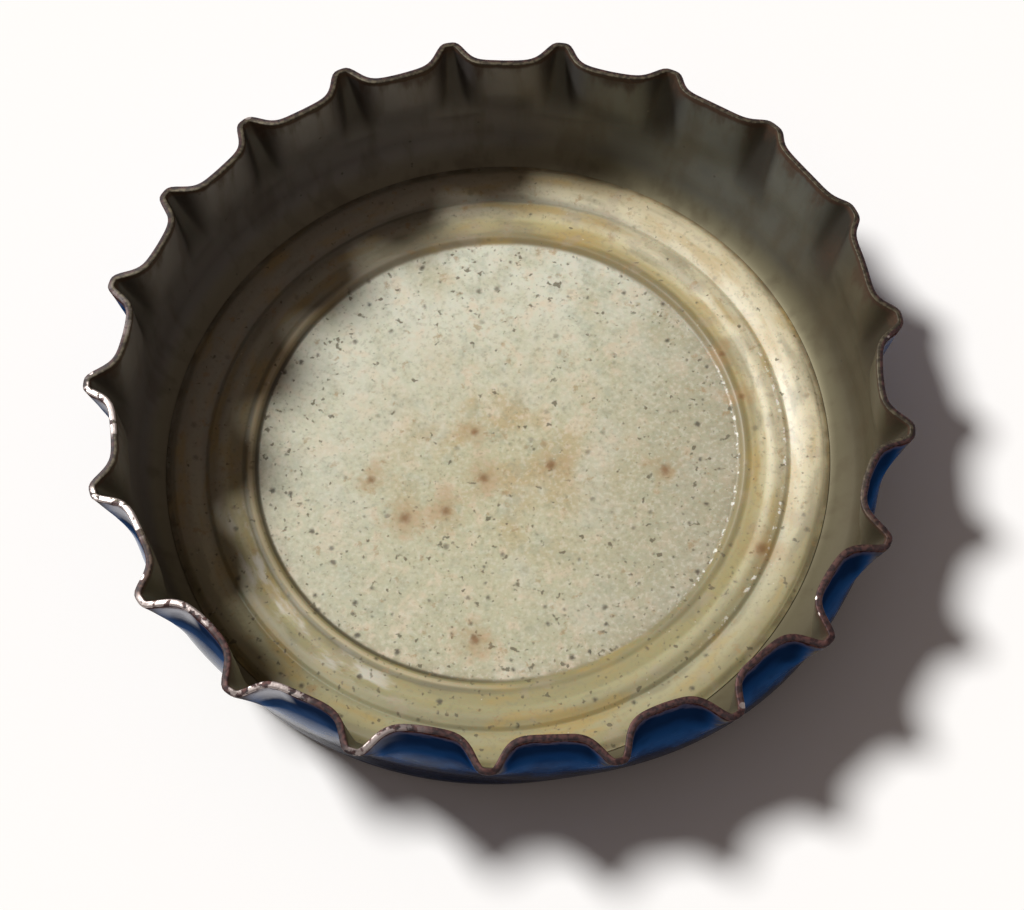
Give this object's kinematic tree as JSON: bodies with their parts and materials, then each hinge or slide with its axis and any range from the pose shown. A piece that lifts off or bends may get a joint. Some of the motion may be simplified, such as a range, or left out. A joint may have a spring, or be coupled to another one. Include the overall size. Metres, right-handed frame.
{
  "type": "bottle cap",
  "caption": "Used crown cap: fluted sheet-metal shell with a moulded sealing liner, lying open side up.",
  "frame": {"origin": "centre of the flat panel's underside, which is the outside of the cap's top", "axes": "+Z along the cap's axis, out of its open side; +X and +Y lie in the panel, and a ridge stands close to +Y"},
  "size_m": [0.0295, 0.0291, 0.0073],
  "materials": {
    "coated_tinplate": "gloss blue enamel outside, dull clear lacquer over tin inside, bare rusty cut edge",
    "liner_plastic": "translucent moulded plastic, yellowed and speckled with dirt"
  },
  "bodies": {
    "root": {"crown_shell": "coated_tinplate", "liner": "liner_plastic"}
  },
  "joints": []
}
